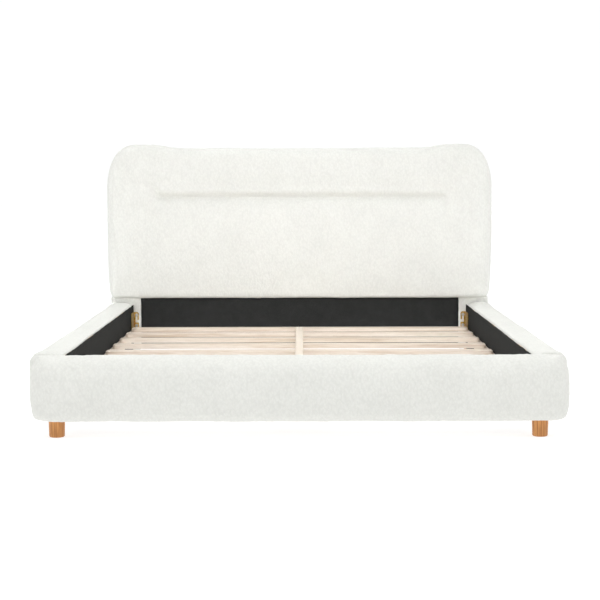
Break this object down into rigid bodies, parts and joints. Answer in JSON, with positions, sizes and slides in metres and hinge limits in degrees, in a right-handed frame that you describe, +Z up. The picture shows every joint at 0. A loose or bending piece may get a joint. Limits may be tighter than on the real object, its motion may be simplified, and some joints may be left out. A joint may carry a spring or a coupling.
{
  "type": "upholstered headboard bed",
  "caption": "Low platform bed for a queen mattress with a puffy fleece-covered headboard and padded rails, wood slats on a centre beam and round timber feet.",
  "frame": {"origin": "on the floor, at the middle of the bed's length and width", "axes": "+Z up; +Y from the foot toward the headboard; +X to the right of a person looking at the headboard from the foot"},
  "size_m": [1.798, 2.232, 1.009],
  "materials": {
    "boucle_fleece": "matte",
    "black_nonwoven": "matte",
    "cotton_webbing": "matte",
    "slat_wood": "matte",
    "frame_timber": "matte",
    "foot_wood": "satin",
    "yellow_zinc": "satin",
    "steel": "satin",
    "black_plastic": "matte"
  },
  "bodies": {
    "bed": {"beam_socket_foot": "steel", "beam_socket_head": "steel", "bracket_screws": "steel", "centre_beam": "frame_timber", "centre_leg_1": "frame_timber", "centre_leg_2": "frame_timber", "centre_leg_3": "frame_timber", "centre_leg_bolts": "steel", "corner_angle_bolts": "steel", "corner_angle_left": "yellow_zinc", "corner_angle_right": "yellow_zinc", "foot_front_left": "foot_wood", "foot_front_right": "foot_wood", "foot_hanger_bolts": "steel", "foot_head_left": "foot_wood", "foot_head_right": "foot_wood", "footboard_base_strip": "frame_timber", "footboard_lining": "black_nonwoven", "footboard_pad": "boucle_fleece", "footboard_panel": "frame_timber", "glide_inserts": "steel", "headboard_back_cover": "black_nonwoven", "headboard_bottom_rail": "frame_timber", "headboard_face_panel": "frame_timber", "headboard_lower_board": "frame_timber", "headboard_lower_lining": "black_nonwoven", "headboard_middle_rail": "frame_timber", "headboard_pad": "boucle_fleece", "headboard_post_left": "frame_timber", "headboard_post_right": "frame_timber", "headboard_top_rail": "frame_timber", "hook_bracket_left": "yellow_zinc", "hook_bracket_right": "yellow_zinc", "ledger_screws": "steel", "post_cover_left": "boucle_fleece", "post_cover_right": "boucle_fleece", "shoulder_bolts": "steel", "side_rail_board_left": "frame_timber", "side_rail_board_right": "frame_timber", "side_rail_lining_left": "black_nonwoven", "side_rail_lining_right": "black_nonwoven", "side_rail_pad_left": "boucle_fleece", "side_rail_pad_right": "boucle_fleece", "slat_1": "slat_wood", "slat_2": "slat_wood", "slat_3": "slat_wood", "slat_4": "slat_wood", "slat_5": "slat_wood", "slat_6": "slat_wood", "slat_7": "slat_wood", "slat_8": "slat_wood", "slat_9": "slat_wood", "slat_ledger_left": "frame_timber", "slat_ledger_right": "frame_timber", "slat_screws": "steel", "slat_strap": "cotton_webbing"},
    "glide_1": {"leg_glide_1": "black_plastic"},
    "glide_2": {"leg_glide_2": "black_plastic"},
    "glide_3": {"leg_glide_3": "black_plastic"}
  },
  "joints": [
    {"name": "glide_1_screw", "type": "slide", "parent": "bed", "child": "glide_1", "axis": [0, 0, -1], "range_m": [-0.004, 0.012]},
    {"name": "glide_2_screw", "type": "slide", "parent": "bed", "child": "glide_2", "axis": [0, 0, -1], "range_m": [-0.004, 0.012]},
    {"name": "glide_3_screw", "type": "slide", "parent": "bed", "child": "glide_3", "axis": [0, 0, -1], "range_m": [-0.004, 0.012]}
  ]
}
